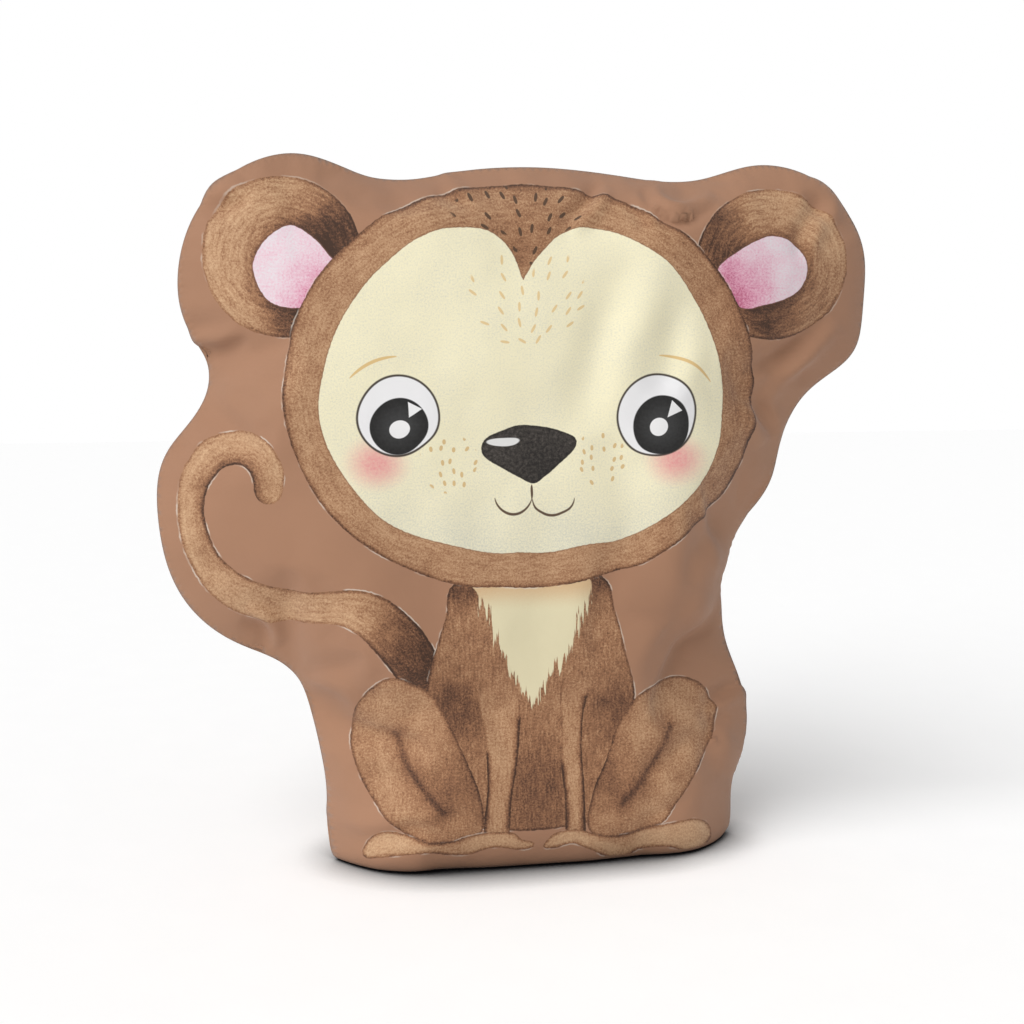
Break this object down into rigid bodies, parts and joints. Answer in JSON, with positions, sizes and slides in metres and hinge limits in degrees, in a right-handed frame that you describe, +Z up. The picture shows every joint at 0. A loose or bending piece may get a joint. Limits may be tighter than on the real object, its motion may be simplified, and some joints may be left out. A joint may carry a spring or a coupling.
{
  "type": "monkey shaped cushion",
  "caption": "Scatter cushion cut to the outline of a seated monkey, with a printed front, a plain back and loose fibre inside; stands on its flattened base.",
  "frame": {"origin": "middle of the flat base, on the seam plane", "axes": "+X across the front from the viewer's left to right, -Y towards the printed front, +Z up"},
  "size_m": [0.4209, 0.104, 0.4],
  "materials": {
    "printed_cloth": "smooth brushed polyester, printed",
    "plain_cloth": "smooth brushed polyester, plain",
    "sewing_thread": "spun polyester thread",
    "fibre": "loose hollow polyester fibre"
  },
  "bodies": {
    "root": {"front_panel": "printed_cloth", "back_panel": "plain_cloth", "needle_thread": "sewing_thread", "bobbin_thread": "sewing_thread", "closing_thread": "sewing_thread", "left_ear_fill": "fibre", "right_ear_fill": "fibre", "tail_fill": "fibre", "head_fill": "fibre", "torso_fill": "fibre"}
  },
  "joints": []
}
